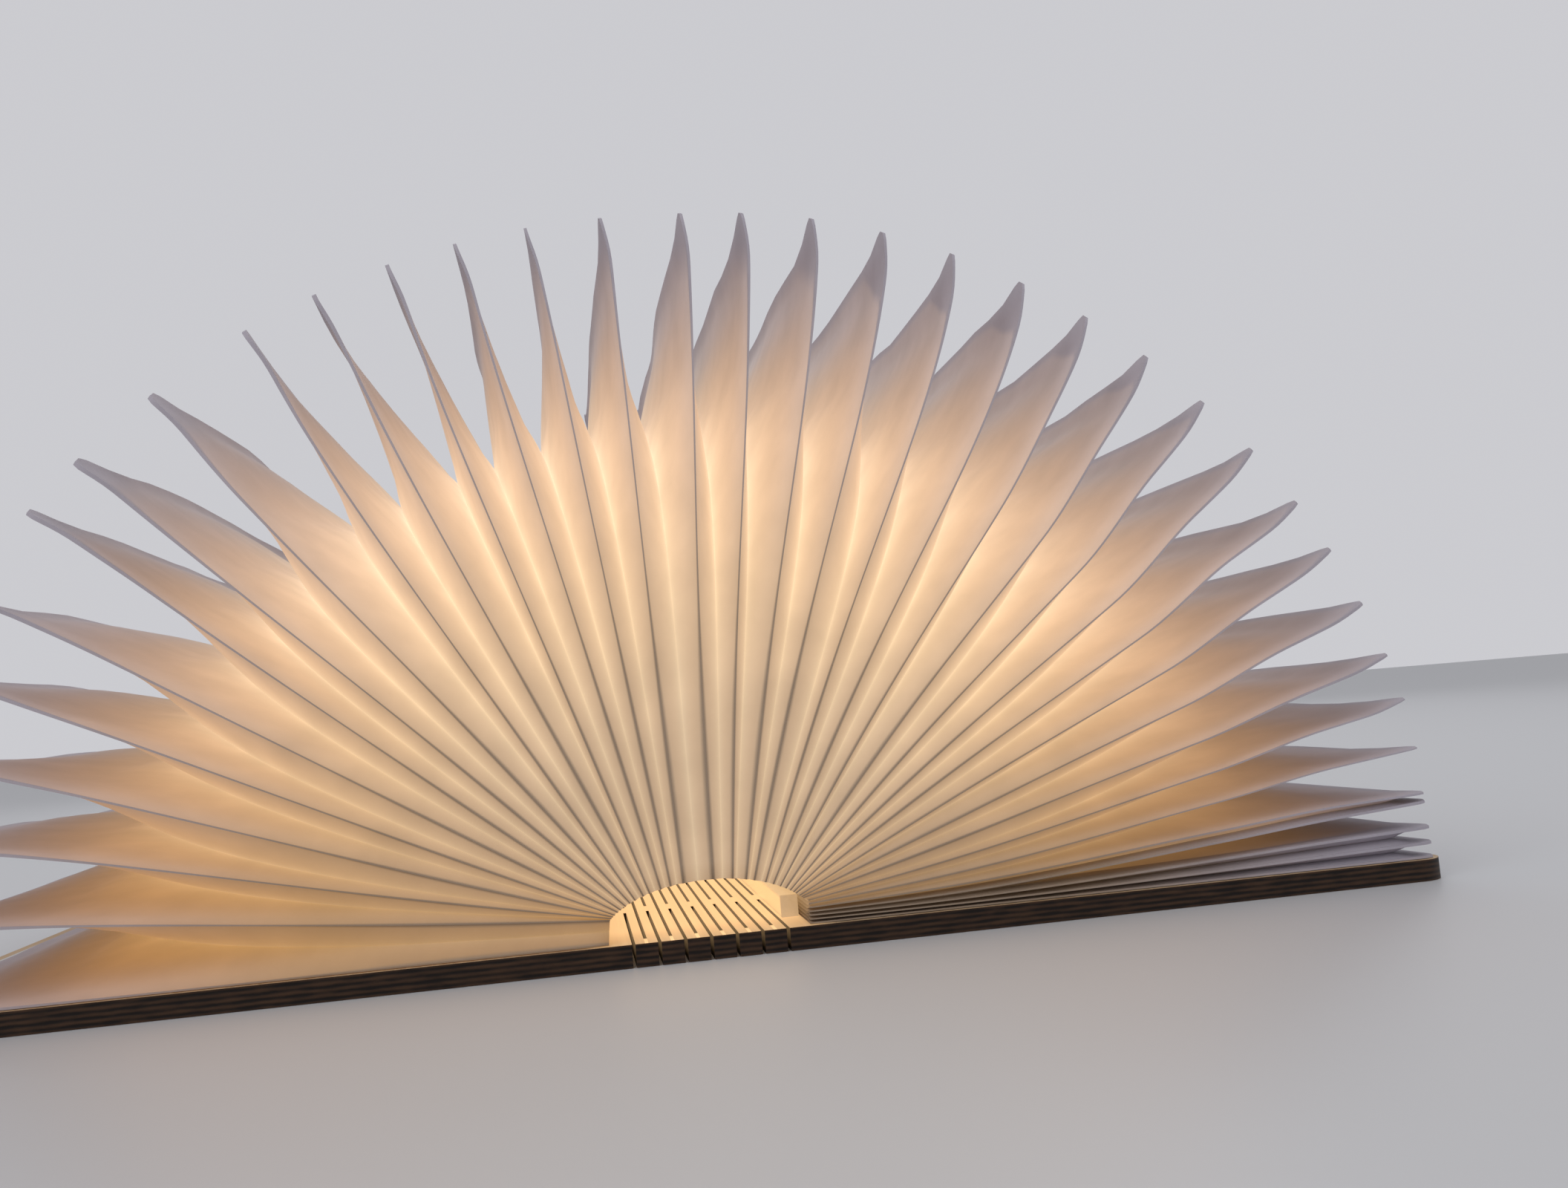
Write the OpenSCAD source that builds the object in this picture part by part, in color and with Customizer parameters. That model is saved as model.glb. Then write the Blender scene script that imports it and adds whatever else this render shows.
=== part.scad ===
// Folding book lamp. One sheet of plywood makes both covers and, with a lattice of
// slits, the flexible spine between them. A fan of closed paper pockets is pasted
// between the covers and lit from a slim bar beside the spine.
// Modelled open flat: +X across the book, +Y from its front edge to its back edge,
// +Z up, with the origin under the middle of the spine on the surface it lies on.

/* [Covers] */
// Spine length, front edge to back edge
book_depth = 215; // [190:1:240]
// Width over both covers, open flat
open_width = 357; // [330:1:390]
// Plywood thickness
ply = 5; // [4.4:0.1:5]
// Radius of the outer corners of the covers
corner_r = 7; // [3:0.5:12]

/* [Spine lattice] */
// Distance from one column of slits to the next
slit_pitch = 2.84; // [2.8:0.01:3]
// Width of a slit
slit_w = 0.75; // [0.7:0.01:0.85]
// Length of the wood left between the ends of two slits
bridge_len = 9.2; // [7:0.1:11]
// Length of the wood left where a slit stops short of the front or back edge
edge_bridge = 6.4; // [5:0.1:9]

/* [Paper fan] */
// Sheet thickness
paper = 0.18; // [0.14:0.01:0.2]
// Distance from the cover's end to the tips of the pages
page_inset = 2.1; // [1.5:0.1:4]
// Distance from the cover's front edge to the front edge of the pages
page_setback = 1.2; // [0.8:0.1:2]
// Half width of the lit tunnel under the fan
tunnel_half_w = 24.4; // [24:0.1:25]
// Height of the tunnel over the covers
tunnel_h = 12.1; // [11.5:0.1:13]
// Pressed edge along the front and back of each pocket
seam_w = 2; // [1.5:0.1:3]
// Depth of the zigzag at the tunnel, between a pocket's edge and its neighbour's wall
pleat_depth = 7; // [6:0.1:9]
// Share of the page's length over which neighbouring pockets are bonded
bond_share = 0.7; // [0.66:0.01:0.74]
// Share of the page's length where the pressed tip starts
tip_share = 0.945; // [0.92:0.005:0.96]
// How far a slanting page bows from a straight line
bow = 2; // [0:0.5:3]

/* [Light bar] */
// Width of the bar across the book
bar_w = 4; // [3.8:0.1:4]
// Height of the bar over the cover
bar_h = 5; // [4.8:0.1:5]
// Distance from the book's front edge to the bar's end
bar_setback = 15; // [12:1:30]
// Number of light emitting diodes
led_count = 24; // [12:2:36]

/* [Battery and charging] */
// Battery size across the book
cell_w = 30; // [25:1:34]
// Battery size along the book
cell_l = 50; // [40:1:60]
// Battery thickness
cell_t = 2.8; // [2.4:0.1:2.9]

/* [Hidden] */
eps = 0.01;
tape_t = 0.15;                      // film that pastes the first sheet to a cover
columns = 13;                       // columns of slits, numbered from the left
last_body = columns;                // body 0 is the left cover, body 13 the right one
pockets = 36;                       // pockets of the fan, the two on the covers included
last_pocket = pockets - 1;
front_y = -book_depth / 2;
hinge_half = (columns - 1) / 2 * slit_pitch;
slat_w = slit_pitch - slit_w;
slit_long = (book_depth - bridge_len - 2 * edge_bridge) / 2;   // a slit closed at both ends
open_slit = (book_depth - slit_long - 2 * bridge_len) / 2;

// paper fan
page_front = front_y + page_setback;
page_depth = book_depth - 2 * page_setback;
page_len = open_width / 2 - page_inset - tunnel_half_w;
fan_floor = ply + tape_t + paper;   // middle of the two sheets that lie on a cover
tunnel_side = tunnel_half_w - 2.1;  // where the pages start on the covers
arch_turn = 52;                     // how strongly the folds gather at the tunnel's corners
arch_even = 12;                     // and how much of their spacing stays even
arch_power = 0.6;
first_open = 5.8;                   // angle of the first free pocket from the left cover
eased_from = 28;                    // from this pocket on the pages crowd together
eased_angle = 162.4;
stack_from = 29;                    // from this pocket on they lie stacked on the cover
stack_pitch = 0.85;
deepest_wall = 0.93 * page_depth / 2;
tip_round = 2.5;                    // the pressed tips are rounded at front and back
hollow_min = 0.03;                  // narrowest air left inside a crowded pocket
bow_peak = 0.1055;                  // highest value of t * t * t * (1 - t)

// light bar, on the right cover beside the last column
bar_x = hinge_half + slit_w / 2 + 0.5;
bar_len = book_depth - 2 * bar_setback;
bar_wall = 0.5;
bar_tape_t = 0.1;
bar_floor = ply + bar_tape_t;
cap_len = 0.8;
strip_t = 0.3;
led_w = 1.6;
led_l = 2.8;
led_t = 0.8;

// recess for the battery and the board in the right cover
recess_d = 3.4;
recess_z = ply - recess_d;
cell_x = 52;
cell_y = 30;
board_x = 44;
board_w = 16;
board_l = 22;
board_t = 0.8;
board_y = book_depth / 2 - 1.5 - board_l / 2;
usb_w = 8.94;
usb_h = 3.16;
usb_l = 7.3;
usb_wall = 0.3;
tongue_w = 6.6;
tongue_t = 0.7;
tongue_in = 0.8;
fit_gap = 0.1;
wire_w = 1.2;
wire_h = 1;
sensor_x = board_x - 4;
sensor_y = board_y - 6;
magnet_r = 4;
magnet_t = 2;
magnet_in = 12;                     // from the outer edges to a magnet's middle
sensor_magnet_r = 2.5;

function two_digits(n) = n < 10 ? str("0", n) : str(n);

function column_x(i) = (i - (columns + 1) / 2) * slit_pitch;

// ---- plywood --------------------------------------------------------------------

// One cover as a flat plate, side -1 on the left and 1 on the right
module cover_plate(side) {
    inner = hinge_half + slit_w / 2;
    outer = open_width / 2;
    flat_w = outer - inner;
    mirror([side < 0 ? 1 : 0, 0, 0])
    linear_extrude(ply) {
        translate([inner, front_y]) square([flat_w - corner_r, book_depth]);
        translate([outer - corner_r - eps, front_y + corner_r])
            square([corner_r + eps, book_depth - 2 * corner_r]);
        for (y = [front_y + corner_r, -front_y - corner_r])
            translate([outer - corner_r, y]) circle(r = corner_r, $fn = 64);
    }
}

// The two blind holes for the magnets that hold the book shut
module magnet_holes(side) {
    for (y = [-1, 1])
        translate([side * (open_width / 2 - magnet_in), y * (book_depth / 2 - magnet_in),
                   ply - magnet_t - fit_gap])
            cylinder(r = magnet_r + fit_gap, h = magnet_t + fit_gap + eps, $fn = 48);
}

module left_cover() {
    color("burlywood")
    difference() {
        cover_plate(-1);
        magnet_holes(-1);
        translate([-sensor_x, sensor_y, ply - magnet_t - fit_gap])
            cylinder(r = sensor_magnet_r + fit_gap, h = magnet_t + fit_gap + eps, $fn = 40);
    }
}

module right_cover() {
    color("burlywood")
    difference() {
        cover_plate(1);
        magnet_holes(1);
        // battery recess
        translate([cell_x - cell_w / 2 - fit_gap, cell_y - cell_l / 2 - fit_gap, recess_z])
            cube([cell_w + 2 * fit_gap, cell_l + 2 * fit_gap, recess_d + eps]);
        // board recess
        translate([board_x - board_w / 2 - fit_gap, board_y - board_l / 2 - fit_gap, recess_z])
            cube([board_w + 2 * fit_gap, board_l + 2 * fit_gap, recess_d + eps]);
        // slot for the socket through the back edge
        translate([board_x - usb_w / 2 - fit_gap, book_depth / 2 - usb_l - fit_gap, recess_z])
            cube([usb_w + 2 * fit_gap, usb_l + 2 * fit_gap, recess_d + eps]);
        // wire grooves, board to bar and board to battery
        translate([bar_x + bar_w / 2, board_y - wire_w, ply - wire_h])
            cube([board_x - board_w / 2 - bar_x - bar_w / 2 + eps, 2 * wire_w, wire_h + eps]);
        translate([cell_x - 2 * wire_w, cell_y + cell_l / 2, ply - wire_h - 1])
            cube([2 * wire_w, board_y - board_l / 2 - cell_y - cell_l / 2 + eps, wire_h + 1 + eps]);
    }
}

// The strip of wood between two columns of slits
module slat(i) {
    color("burlywood")
    translate([column_x(i) + slit_w / 2, front_y, 0]) cube([slat_w, book_depth, ply]);
}

// The wood left in one column: odd columns run out through both edges of the book
module bridges(i) {
    starts = i % 2 == 1
        ? [front_y + open_slit, front_y + open_slit + bridge_len + slit_long]
        : [front_y, -bridge_len / 2, -front_y - edge_bridge];
    lengths = i % 2 == 1
        ? [bridge_len, bridge_len]
        : [edge_bridge, bridge_len, edge_bridge];
    color("peru")
    for (n = [0:len(starts) - 1])
        translate([column_x(i) - slit_w / 2, starts[n], 0]) cube([slit_w, lengths[n], ply]);
}

// ---- paper fan ------------------------------------------------------------------

// Angle of pocket k from the left cover. Folded paper never fans quite evenly: the
// pages lean back over the middle of the fan and crowd together on the right cover.
function open_angle(k) =
    k <= 0 ? 0
    : k > eased_from ? eased_angle + (180 - eased_angle) * (1 - pow(1 - eased_share(k), 2))
    : let (x = (k - 1) / (eased_from - 1))
      first_open + (eased_angle - first_open) * x
      + 4.6 * sin(180 * x) + 1.2 * sin(360 * x) + 0.5 * sin(540 * x) - 0.8 * sin(720 * x);
function eased_share(k) = (k - eased_from) / (last_pocket - eased_from);

// Where the middle of pocket k starts, on the arch over the tunnel
function arch_angle(k) = let (a = open_angle(k), c = cos(a))
    90 - arch_turn * sign(c) * pow(abs(c), arch_power) - arch_even * (90 - a) / 90;
function page_start(k) =
    k <= 0 ? [-tunnel_side, fan_floor]
    : k >= stack_from ? [tunnel_side, fan_floor + (last_pocket - k) * stack_pitch]
    : [-tunnel_half_w * cos(arch_angle(k)), ply + tunnel_h * sin(arch_angle(k))];
function page_tip(k) = let (a = open_angle(k))
    [-(tunnel_half_w + page_len) * cos(a), fan_floor + (tunnel_h + page_len) * sin(a)];

// Middle line of pocket k, at share t of its length: low pages on the left lift a
// little and the others bow down to the right, except close to the covers
function middle(k, t) = let (a = open_angle(k))
    page_start(k) + t * (page_tip(k) - page_start(k))
    + bow * bow_share(a) * pow(max(t, 0), 3) * (1 - t) / bow_peak * [sin(a), cos(a)];
function bow_share(a) = min(1, a / 6, (180 - a) / 12)
    * (0.9 - 1.05 * cos(a) + 0.25 * cos(2 * a) + 0.95 * cos(3 * a));

// How wide a pocket stands open at t, as a share of the way to its neighbour
function opening(t) = let (x = min(1, max(0, (tip_share - t) / (tip_share - bond_share))))
    x * x * (3 - 2 * x);

// The bonded wall between pocket k and its neighbour on side s, the same for both
function wall(k, t, s) = (middle(k, t) + middle(k + s, t)) / 2;
function at_cover(k, s) = k + s < 0 || k + s > last_pocket;
// Outside of pocket k's sheet on side s, where it stands furthest open
function swell(k, t, s) = at_cover(k, s) ? middle(k, t) - [0, paper]
    : opening(t) == 1 ? wall(k, t, s)
    : let (v = wall(k, t, s) - middle(k, t), d = norm(v))
      middle(k, t) + v / d * max(opening(t) * d, paper);
// the same, taken in by the sheet and stopped short of the middle
function hollow(k, t, s) = at_cover(k, s) ? middle(k, t)
    : let (v = swell(k, t, s) - middle(k, t), d = norm(v))
      middle(k, t) + v / d * max(d - paper, hollow_min);
// Direction from pocket k's middle to its sheet on side s, one sheet long
function sheet(k, t, s) = at_cover(k, s) ? [0, -paper]
    : let (v = middle(k + s, t) - middle(k, t)) v / norm(v) * paper;

// How far the wall between two pockets stands back from their front edge: little at
// the tunnel, and halfway to the back where the pockets part
function wall_back(t) = min(deepest_wall, pleat_depth + (page_depth / 2 - pleat_depth)
    * (1 - sqrt(max(0, 1 - pow(min(1, t / bond_share), 2)))));
function edge_back(t) = t > tip_share + eps ? tip_round : 0;

function at(p, y) = [p[0], page_front + y, p[1]];

// One ring of a pocket's outside: six points on the left sheet, then six on the right
function outer_ring(k, t) =
    let (m = middle(k, t), l = swell(k, t, -1), r = swell(k, t, 1),
         ln = m + sheet(k, t, -1), rn = m + sheet(k, t, 1),
         ys = [edge_back(t), edge_back(t) + seam_w, wall_back(t)])
    concat([at(ln, ys[0]), at(ln, ys[1]), at(l, ys[2]),
            at(l, page_depth - ys[2]), at(ln, page_depth - ys[1]),
            at(ln, page_depth - ys[0])],
           [at(rn, page_depth - ys[0]), at(rn, page_depth - ys[1]),
            at(r, page_depth - ys[2]), at(r, ys[2]),
            at(rn, ys[1]), at(rn, ys[0])]);
function inner_ring(k, t) =
    let (m = middle(k, t), l = hollow(k, t, -1), r = hollow(k, t, 1),
         y1 = seam_w + 2 * paper, y2 = wall_back(t) + 2 * paper)
    [at(m, y1), at(l, y2), at(l, page_depth - y2), at(m, page_depth - y1),
     at(r, page_depth - y2), at(r, y2)];

taper = tip_share - bond_share;
outer_stations = [0, 0.5 * bond_share, 0.8 * bond_share, bond_share, bond_share + 0.3 * taper,
                  bond_share + 0.65 * taper, tip_share, 1];
inner_stations = [-0.02, 0.5 * bond_share, 0.8 * bond_share, bond_share,
                  bond_share + 0.3 * taper, bond_share + 0.65 * taper];

// Skin over rings of n points, closed at both ends by strips across the ring
module rings(points, n) {
    count = len(points) / n;
    half = n / 2;
    sides = [for (i = [0:count - 2], j = [0:n - 1])
        let (a = i * n + j, b = i * n + (j + 1) % n, c = b + n, d = a + n)
        each [[a, b, c], [a, c, d]]];
    first = [for (j = [0:half - 2]) each [[j, n - 2 - j, j + 1], [j, n - 1 - j, n - 2 - j]]];
    e = (count - 1) * n;
    end = [for (f = first) [f[0] + e, f[2] + e, f[1] + e]];
    polyhedron(points, concat(sides, first, end));
}
// A ring of six is a seam point, two left, a seam point and two right
module pointed_rings(points) {
    count = len(points) / 6;
    sides = [for (i = [0:count - 2], j = [0:5])
        let (a = i * 6 + j, b = i * 6 + (j + 1) % 6, c = b + 6, d = a + 6)
        each [[a, b, c], [a, c, d]]];
    first = [[0, 5, 1], [1, 5, 2], [2, 5, 4], [2, 4, 3]];
    e = (count - 1) * 6;
    end = [for (f = first) [f[0] + e, f[2] + e, f[1] + e]];
    polyhedron(points, concat(sides, first, end));
}

// One closed pocket: two sheets pressed together along three edges, open to the tunnel
module pocket(k) {
    difference() {
        rings([for (t = outer_stations) each outer_ring(k, t)], 12);
        pointed_rings([for (t = inner_stations) each inner_ring(k, t)]);
    }
}

// The pockets that turn with body j of the spine
function body_of(k) = round(last_body * open_angle(k) / 180);
module pages(j) {
    color("ivory")
    for (k = [0:last_pocket]) if (body_of(k) == j) pocket(k);
}

// Film that pastes the fan's first or last sheet to a cover
module tape(side) {
    x0 = side < 0 ? -(open_width / 2 - page_inset - 1) : tunnel_side + 0.4;
    w = open_width / 2 - page_inset - 1.4 - tunnel_side;
    color("whitesmoke")
    translate([x0, page_front + 1, ply]) cube([w, page_depth - 2, tape_t]);
}

// ---- light bar ------------------------------------------------------------------

// U channel, open towards the tunnel
module bar_channel() {
    color("white")
    translate([bar_x, -bar_len / 2 + cap_len, bar_floor])
    difference() {
        cube([bar_w, bar_len - 2 * cap_len, bar_h]);
        translate([-eps, -eps, bar_wall])
            cube([bar_w - bar_wall + eps, bar_len, bar_h - 2 * bar_wall]);
        // wire hole down into the cover
        translate([bar_w / 2 + 0.2, board_y + bar_len / 2 - cap_len - wire_w / 2, -eps])
            cube([0.9, wire_w, bar_wall + 2 * eps]);
    }
}

module bar_lens() {
    color("lightyellow")
    translate([bar_x, -bar_len / 2 + cap_len, bar_floor + bar_wall])
        cube([0.6, bar_len - 2 * cap_len, bar_h - 2 * bar_wall]);
}

module bar_end_caps() {
    color("white")
    for (s = [-1, 1])
        translate([bar_x, s * (bar_len / 2 - cap_len / 2) - cap_len / 2, bar_floor])
            cube([bar_w, cap_len, bar_h]);
}

module bar_tape() {
    color("whitesmoke")
    translate([bar_x + 0.2, -bar_len / 2 + 1, ply])
        cube([bar_w - 1.6, board_y + bar_len / 2 - 3, bar_tape_t]);
}

module led_strip() {
    color("khaki")
    translate([bar_x + bar_w - bar_wall - strip_t, -bar_len / 2 + 2, bar_floor + bar_wall])
        cube([strip_t, bar_len - 4, bar_h - 2 * bar_wall]);
}

module led_chips() {
    end_room = 4;
    pitch = (bar_len - 2 * end_room) / led_count;
    color("gold")
    for (n = [0:led_count - 1])
        translate([bar_x + bar_w - bar_wall - strip_t - led_t,
                   -bar_len / 2 + end_room + (n + 0.5) * pitch - led_l / 2,
                   bar_floor + bar_h / 2 - led_w / 2])
            cube([led_t, led_l, led_w]);
}

// ---- battery, charging and magnets ----------------------------------------------

module battery() {
    color("silver")
    translate([cell_x - cell_w / 2, cell_y - cell_l / 2, recess_z]) cube([cell_w, cell_l, cell_t]);
}

module charge_board() {
    color("darkgreen")
    translate([board_x - board_w / 2, board_y - board_l / 2, recess_z])
    difference() {
        cube([board_w, board_l, board_t]);
        translate([board_w / 2 - usb_w / 2 - fit_gap, board_l - usb_l + 1.4, -eps])
            cube([usb_w + 2 * fit_gap, usb_l, board_t + 2 * eps]);
    }
}

// Round-ended metal shell of the charging socket with its tongue
module usb_socket() {
    r = usb_h / 2;
    translate([board_x, book_depth / 2, recess_z + r])
    rotate([90, 0, 0]) {
        color("silver")
        difference() {
            linear_extrude(usb_l) stadium(usb_w, r);
            translate([0, 0, -eps]) linear_extrude(usb_l - 1) stadium(usb_w - 2 * usb_wall, r - usb_wall);
        }
        color("black")
        translate([-tongue_w / 2, -tongue_t / 2, tongue_in])
            cube([tongue_w, tongue_t, usb_l - tongue_in - 0.4]);
    }
}
module stadium(w, r) {
    translate([-w / 2 + r, -r]) square([w - 2 * r, 2 * r]);
    for (x = [-1, 1]) translate([x * (w / 2 - r), 0]) circle(r = r, $fn = 40);
}

module hall_sensor() {
    color("dimgray")
    translate([sensor_x - 1.5, sensor_y - 0.8, recess_z + board_t]) cube([3, 1.6, 1.1]);
}

module magnet_at(x, y, r) {
    translate([x, y, ply - magnet_t]) cylinder(r = r, h = magnet_t, $fn = 48);
}
module magnets(side) {
    color("lightgray")
    for (y = [-1, 1])
        magnet_at(side * (open_width / 2 - magnet_in), y * (book_depth / 2 - magnet_in), magnet_r);
}
module sensor_magnet() {
    color("lightgray") magnet_at(-sensor_x, sensor_y, sensor_magnet_r);
}

// Flat leads from the board to the light strip and to the battery
module wires() {
    lead = 0.6;
    strip_x = bar_x + bar_w - bar_wall - strip_t - lead;
    color("crimson") {
        translate([strip_x, board_y - lead / 2, ply - 0.8])
            cube([board_x - board_w / 2 + 1 - strip_x, lead, lead]);
        translate([strip_x, board_y - lead / 2, ply - 0.8])
            cube([lead, lead, bar_tape_t + bar_wall + 1.6]);
        translate([board_x - board_w / 2 + 1 - lead, board_y - lead / 2, recess_z + board_t])
            cube([lead, lead, ply - 0.8 + lead - recess_z - board_t]);
        translate([cell_x - 1.5 * wire_w, cell_y + cell_l / 2, ply - 1.9])
            cube([lead, board_y - board_l / 2 + 1 - cell_y - cell_l / 2, lead]);
        translate([cell_x - 1.5 * wire_w, board_y - board_l / 2 + 1 - lead, recess_z + board_t])
            cube([lead, lead, ply - 1.9 + lead - recess_z - board_t]);
    }
}

left_cover();
right_cover();
for (i = [1:columns - 1]) slat(i);
for (i = [1:columns]) bridges(i);
for (j = [0:last_body]) pages(j);
tape(-1);  // tape_left
tape(1);  // tape_right
bar_tape();
bar_channel();
bar_lens();
bar_end_caps();
led_strip();
led_chips();
battery();
charge_board();
usb_socket();
hall_sensor();
sensor_magnet();
magnets(-1);  // magnets_left
magnets(1);  // magnets_right
wires();
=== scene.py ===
import bpy, bmesh, math
from mathutils import Matrix, Vector
from mathutils.noise import noise


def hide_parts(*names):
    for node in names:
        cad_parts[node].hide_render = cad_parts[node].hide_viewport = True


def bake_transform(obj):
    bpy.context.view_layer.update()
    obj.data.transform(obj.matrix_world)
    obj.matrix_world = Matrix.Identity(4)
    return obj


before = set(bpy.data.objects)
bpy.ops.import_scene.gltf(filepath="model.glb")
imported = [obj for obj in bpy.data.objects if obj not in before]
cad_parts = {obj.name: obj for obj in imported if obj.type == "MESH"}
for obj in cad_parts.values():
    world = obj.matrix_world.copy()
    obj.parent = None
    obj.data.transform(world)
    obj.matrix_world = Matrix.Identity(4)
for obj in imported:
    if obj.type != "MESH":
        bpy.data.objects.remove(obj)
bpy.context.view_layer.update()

# ---- Camera -----------------------------------------------------------------------
# A wide lens close to the front edge, a little left of the spine and below the
# tips, turned slightly to the right, tipped up and rolled.
camera = bpy.data.objects.new("camera", bpy.data.cameras.new("camera"))
bpy.context.scene.collection.objects.link(camera)
camera.data.sensor_fit = "HORIZONTAL"
camera.data.sensor_width = 36
camera.data.lens = 31.53
camera.data.clip_start = 0.01
turn, tip_up, roll = math.radians(9.2546), math.radians(4.6403), math.radians(-4.6103)
ahead = Vector((math.sin(turn) * math.cos(tip_up), math.cos(turn) * math.cos(tip_up), math.sin(tip_up)))
level = Vector((math.cos(turn), -math.sin(turn), 0))
above = level.cross(ahead)
side = level * math.cos(roll) + above * math.sin(roll)
top = above * math.cos(roll) - level * math.sin(roll)
stand = Vector((-0.02764, -0.41271, 0.05385))
camera.matrix_world = Matrix.Translation(stand) @ Matrix((side, top, -ahead)).transposed().to_4x4()
bpy.context.scene.camera = camera
bpy.context.scene.view_settings.view_transform = "Standard"

# ---- Floor and studio light ---------------------------------------------------------
# A plain pale floor, an even pale surround and three large soft lamps, kept low
# enough that the lit paper does not bleach.
floor_mesh = bmesh.new()
floor_reach, floor_drop = 6, 0.0001
bmesh.ops.create_grid(floor_mesh, x_segments=1, y_segments=1, size=floor_reach)
bmesh.ops.translate(floor_mesh, verts=floor_mesh.verts, vec=(0, 0, -floor_drop))
floor = bpy.data.objects.new("floor", bpy.data.meshes.new("floor"))
floor_mesh.to_mesh(floor.data)
floor_mesh.free()
bpy.context.scene.collection.objects.link(floor)
floor_paint = bpy.data.materials.new("floor_paint")
floor_paint.use_nodes = True
body = floor_paint.node_tree.nodes["Principled BSDF"]
body.inputs["Base Color"].default_value = (0.60, 0.60, 0.62, 1)
body.inputs["Roughness"].default_value = 0.42
floor.data.materials.append(floor_paint)

surround = bpy.data.worlds.new("surround")
bpy.context.scene.world = surround
surround.use_nodes = True
sky = surround.node_tree
sky.nodes.clear()
# the camera, mirrors and glass see a plain backdrop, and everything else is lit by a dimmer one
seen = sky.nodes.new("ShaderNodeLightPath")
either = sky.nodes.new("ShaderNodeMath")
either.operation = "MAXIMUM"
clear = sky.nodes.new("ShaderNodeMath")
clear.operation = "MAXIMUM"
sky.links.new(seen.outputs["Is Camera Ray"], either.inputs[0])
sky.links.new(seen.outputs["Is Glossy Ray"], either.inputs[1])
sky.links.new(either.outputs[0], clear.inputs[0])
sky.links.new(seen.outputs["Is Transmission Ray"], clear.inputs[1])
lighting = sky.nodes.new("ShaderNodeBackground")
lighting.inputs["Color"].default_value = (0.95, 0.97, 1.0, 1)
lighting.inputs["Strength"].default_value = 0.42
backdrop = sky.nodes.new("ShaderNodeBackground")
backdrop.inputs["Color"].default_value = (0.60, 0.60, 0.63, 1)
backdrop.inputs["Strength"].default_value = 1.0
pick = sky.nodes.new("ShaderNodeMixShader")
world_out = sky.nodes.new("ShaderNodeOutputWorld")
sky.links.new(clear.outputs[0], pick.inputs[0])
sky.links.new(lighting.outputs[0], pick.inputs[1])
sky.links.new(backdrop.outputs[0], pick.inputs[2])
sky.links.new(pick.outputs[0], world_out.inputs[0])

for name, place, watts, size in (("key", (-0.7, -0.9, 1.1), 7, 1.2),
                                 ("fill", (1.1, -0.5, 0.8), 3.5, 1.4),
                                 ("back", (0.2, 1.2, 0.9), 3.5, 1.2)):
    lamp = bpy.data.objects.new(name, bpy.data.lights.new(name, "AREA"))
    lamp.data.energy, lamp.data.size = watts, size
    lamp.location = place
    lamp.rotation_euler = Vector(place).to_track_quat("Z", "Y").to_euler()
    bpy.context.scene.collection.objects.link(lamp)

# ---- Plywood covers and slats -------------------------------------------------------
# One sheet of maple plywood, laser cut: the faces stay pale with fine grain along
# the spine, and the cut edges are burnt dark with the plies still showing.

# millimetres: the open sheet, one layer of it, and the slits that make the spine bend
depth, width, ply, veneer_sheet = 215.0, 357.0, 5.0, 1.25
slit_pitch, slit_w, columns = 2.84, 0.75, 13
body_names = ["left_cover"] + [f"slat_{i:02d}" for i in range(1, columns)] + ["right_cover"]
# painted light: the light of the tunnel as the wood gives it back, laid on as emission
tunnel_glow = (0.72, 0.46, 0.22, 1)
no_light = (0, 0, 0, 1)

wood = bpy.data.node_groups.new("maple_plywood", "ShaderNodeTree")
wood.interface.new_socket("Place", in_out="INPUT", socket_type="NodeSocketVector")
wood.interface.new_socket("Cut", in_out="INPUT", socket_type="NodeSocketFloat")
wood.interface.new_socket("Color", in_out="OUTPUT", socket_type="NodeSocketColor")
wood.interface.new_socket("Roughness", in_out="OUTPUT", socket_type="NodeSocketFloat")
wood.interface.new_socket("Relief", in_out="OUTPUT", socket_type="NodeSocketFloat")
nodes, links = wood.nodes, wood.links
wood_in, wood_out = nodes.new("NodeGroupInput"), nodes.new("NodeGroupOutput")
# grain: long thin streaks along the spine, under broader clouds
# (a Mix node takes its two numbers at inputs 2 and 3 and its two colours at 6 and 7)
stretch = nodes.new("ShaderNodeMapping")
stretch.inputs["Scale"].default_value = (900, 22, 300)
links.new(wood_in.outputs["Place"], stretch.inputs["Vector"])
streaks = nodes.new("ShaderNodeTexNoise")
streaks.inputs["Scale"].default_value = 1.0
streaks.inputs["Detail"].default_value = 5
links.new(stretch.outputs[0], streaks.inputs["Vector"])
bands = nodes.new("ShaderNodeMapping")
bands.inputs["Scale"].default_value = (60, 5, 20)
links.new(wood_in.outputs["Place"], bands.inputs["Vector"])
cloud = nodes.new("ShaderNodeTexNoise")
cloud.inputs["Scale"].default_value = 1.0
cloud.inputs["Distortion"].default_value = 1.5
links.new(bands.outputs[0], cloud.inputs["Vector"])
both = nodes.new("ShaderNodeMix")
both.data_type = "FLOAT"
both.inputs[0].default_value = 0.5
links.new(streaks.outputs["Fac"], both.inputs[2])
links.new(cloud.outputs["Fac"], both.inputs[3])
veneer = nodes.new("ShaderNodeValToRGB")
veneer.color_ramp.elements[0].position, veneer.color_ramp.elements[0].color = 0.33, (0.40, 0.25, 0.135, 1)
veneer.color_ramp.elements[1].position, veneer.color_ramp.elements[1].color = 0.66, (0.60, 0.43, 0.26, 1)
links.new(both.outputs[0], veneer.inputs[0])
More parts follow.
